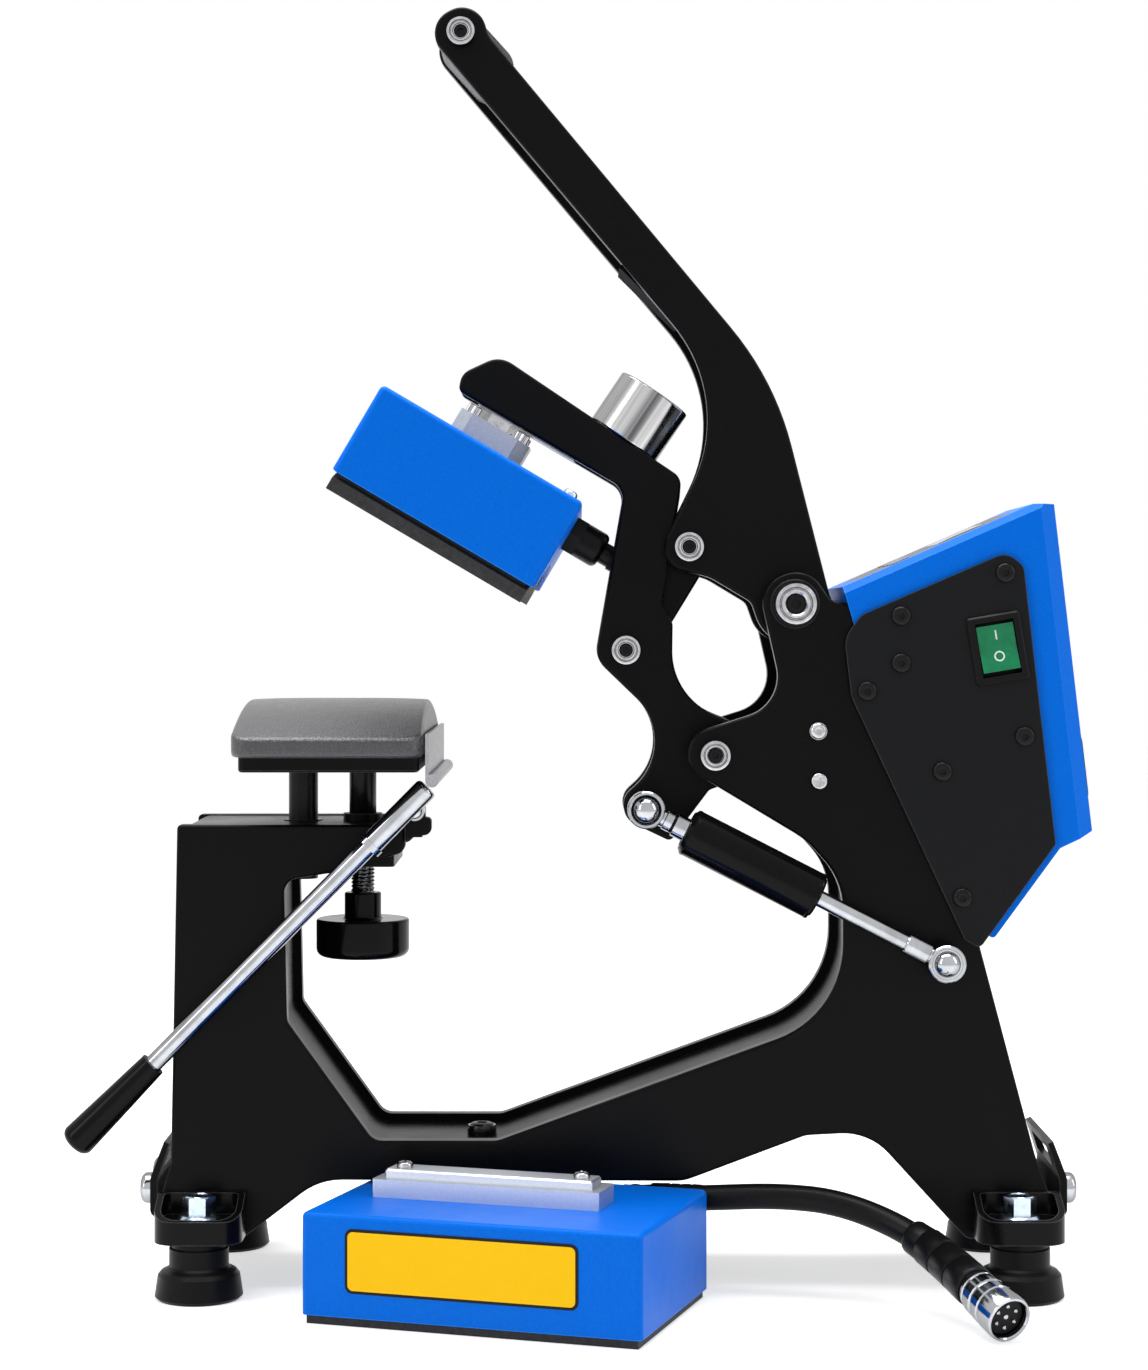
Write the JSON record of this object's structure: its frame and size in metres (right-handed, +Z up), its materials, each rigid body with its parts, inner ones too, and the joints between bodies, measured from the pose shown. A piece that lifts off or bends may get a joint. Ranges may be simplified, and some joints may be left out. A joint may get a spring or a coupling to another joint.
{
  "type": "cap heat press",
  "caption": "Toggle cap heat press: heated element on a swinging arm over a curved pad, C-shaped plate frame on rubber feet, controller box behind, spare flat element beside it.",
  "frame": {"origin": "on the bench, midway between the two side plates, under the open throat of the frame", "axes": "+X towards the controller at the back, -X towards the operator, +Y to the far side plate, +Z up"},
  "size_m": [0.4726, 0.2332, 0.5939],
  "materials": {
    "black_coat": "satin powder coat",
    "blue_coat": "gloss paint",
    "chrome": "polished",
    "zinc": "plated",
    "bright_steel": "ground",
    "aluminium": "milled",
    "dark_heater": "non-stick coating",
    "pad_rubber": "matte silicone sponge",
    "black_rubber": "matte",
    "black_plastic": "fine grain",
    "panel": "glossy film",
    "green_plastic": "clear green, unlit",
    "bronze": "turned",
    "grip_grey": "matte"
  },
  "bodies": {
    "frame": {"arm_pivot_bolt": "zinc", "column_cover": "black_coat", "control_panel": "panel", "controller_cover": "blue_coat", "controller_sides": "black_coat", "end_straps": "black_coat", "foot_bolts": "zinc", "foot_brackets": "black_coat", "guide_block": "bright_steel", "guide_bush": "bronze", "hold_bracket": "black_coat", "lever_pivot_bolt": "zinc", "power_inlet": "black_plastic", "rear_web": "black_coat", "rubber_foot_front_far": "black_rubber", "rubber_foot_front_near": "black_rubber", "rubber_foot_rear_far": "black_rubber", "rubber_foot_rear_near": "black_rubber", "side_plate_far": "black_coat", "side_plate_near": "black_coat", "spring_stud_rear": "zinc", "switch_bezel": "black_plastic", "throat_web": "black_coat", "tie_bolts": "zinc"},
    "lever": {"lever_plates": "black_coat", "lever_hub": "bright_steel", "grip_bar": "grip_grey", "lever_bolts": "zinc", "keeper_plate": "black_coat"},
    "link": {"toggle_link": "black_coat"},
    "arm": {"arm_plates": "black_coat", "arm_hub": "bright_steel", "arm_nose": "bright_steel", "link_pin": "bright_steel", "spring_stud_front": "zinc", "magnet": "chrome", "adapter_block": "aluminium", "element_stud": "zinc", "element_housing": "blue_coat", "heater_plate": "dark_heater", "element_gland": "black_plastic", "element_lead": "black_rubber", "lead_socket": "black_plastic"},
    "spring_tube": {"gas_tube": "black_coat"},
    "spring_rod": {"gas_rod": "chrome"},
    "platen": {"platen_plate": "black_coat", "platen_pad": "pad_rubber", "guide_post": "chrome"},
    "height_screw": {"spindle": "zinc", "knob": "black_plastic"},
    "hold_down": {"hold_strap": "chrome", "hold_rod": "chrome", "hold_grip": "black_rubber"},
    "switch": {"switch_rocker": "green_plastic"},
    "spare_element": {"spare_housing": "blue_coat", "spare_heater_plate": "dark_heater", "spare_rail": "aluminium", "spare_gland": "black_plastic", "spare_cord": "black_rubber", "spare_connector": "black_plastic"}
  },
  "joints": [
    {"name": "lever_swing", "type": "hinge", "parent": "frame", "child": "lever", "pos_m": [0.0989, 0, 0.3157], "axis": [0, -1, 0], "range_deg": [0, 41.5], "stiffness_Nm_per_rad": 2, "springref_deg": -166.16},
    {"name": "arm_swing", "type": "hinge", "parent": "frame", "child": "arm", "pos_m": [0.0621, 0, 0.2462], "axis": [0, -1, 0], "range_deg": [0, 30.6]},
    {"name": "link_swing", "type": "hinge", "parent": "lever", "child": "link", "pos_m": [0.0507, 0, 0.3423], "axis": [0, -1, 0], "range_deg": [-59.4, 0]},
    {"name": "spring_swing", "type": "hinge", "parent": "frame", "child": "spring_rod", "pos_m": [0.167, -0.055, 0.1518], "axis": [0, -1, 0], "range_deg": [0, 1.7]},
    {"name": "spring_stroke", "type": "slide", "parent": "spring_rod", "child": "spring_tube", "axis": [0.8904, 0, -0.4553], "range_m": [0, 0.021]},
    {"name": "height_turn", "type": "hinge", "parent": "platen", "child": "height_screw", "pos_m": [-0.103, 0, 0.2], "axis": [0, 0, 1], "range_deg": [-720, 720]},
    {"name": "platen_height", "type": "slide", "parent": "frame", "child": "platen", "axis": [0, 0, 1], "range_m": [-0.0036, 0.0036]},
    {"name": "hold_down_swing", "type": "hinge", "parent": "frame", "child": "hold_down", "pos_m": [-0.0755, -0.052, 0.221], "axis": [0, 1, 0], "range_deg": [0, 45]},
    {"name": "switch_rock", "type": "hinge", "parent": "frame", "child": "switch", "pos_m": [0.1915, -0.0435, 0.2953], "axis": [0.9863, 0, 0.165], "range_deg": [0, 16]},
    {"name": "spare_slide", "type": "slide", "parent": "frame", "child": "spare_element", "axis": [0, -1, 0], "range_m": [0, 0.06]}
  ],
  "couplings": [
    {"joint": "arm_swing", "follows": "lever_swing", "ratio": 0.73721},
    {"joint": "link_swing", "follows": "lever_swing", "ratio": -1.43},
    {"joint": "spring_swing", "follows": "lever_swing", "ratio": 0.03942},
    {"joint": "spring_stroke", "follows": "lever_swing", "m_per_rad": 0.02877},
    {"joint": "platen_height", "follows": "height_turn", "m_per_rad": 0.00027852}
  ]
}
